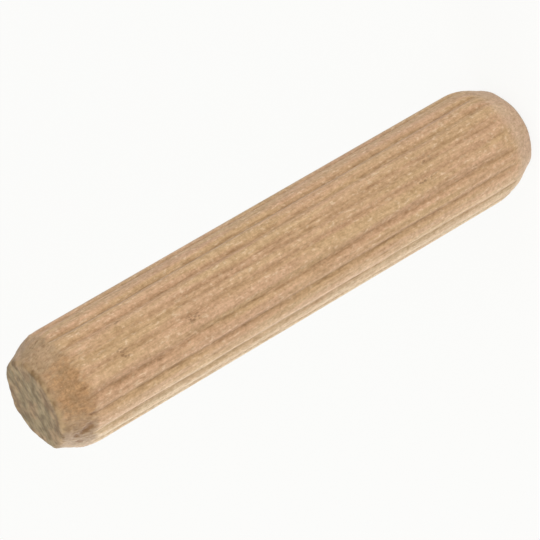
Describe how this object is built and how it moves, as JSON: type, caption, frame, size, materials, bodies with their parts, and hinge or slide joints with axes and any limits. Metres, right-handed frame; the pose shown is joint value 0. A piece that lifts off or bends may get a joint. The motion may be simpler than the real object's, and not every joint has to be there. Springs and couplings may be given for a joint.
{
  "type": "fluted dowel pin",
  "caption": "Straight wooden joining pin with shallow flutes pressed along its whole length and a tapered, flat-faced end at each side.",
  "frame": {"origin": "centre of the base end face, where the pin stands", "axes": "+Z along the pin's axis from the base end to the top end; +X and +Y each pass through the middle of a land"},
  "size_m": [0.008, 0.008, 0.04],
  "materials": {
    "beech": "raw beech, pressed lands and sawn end grain"
  },
  "bodies": {
    "root": {"dowel_pin": "beech"}
  },
  "joints": []
}
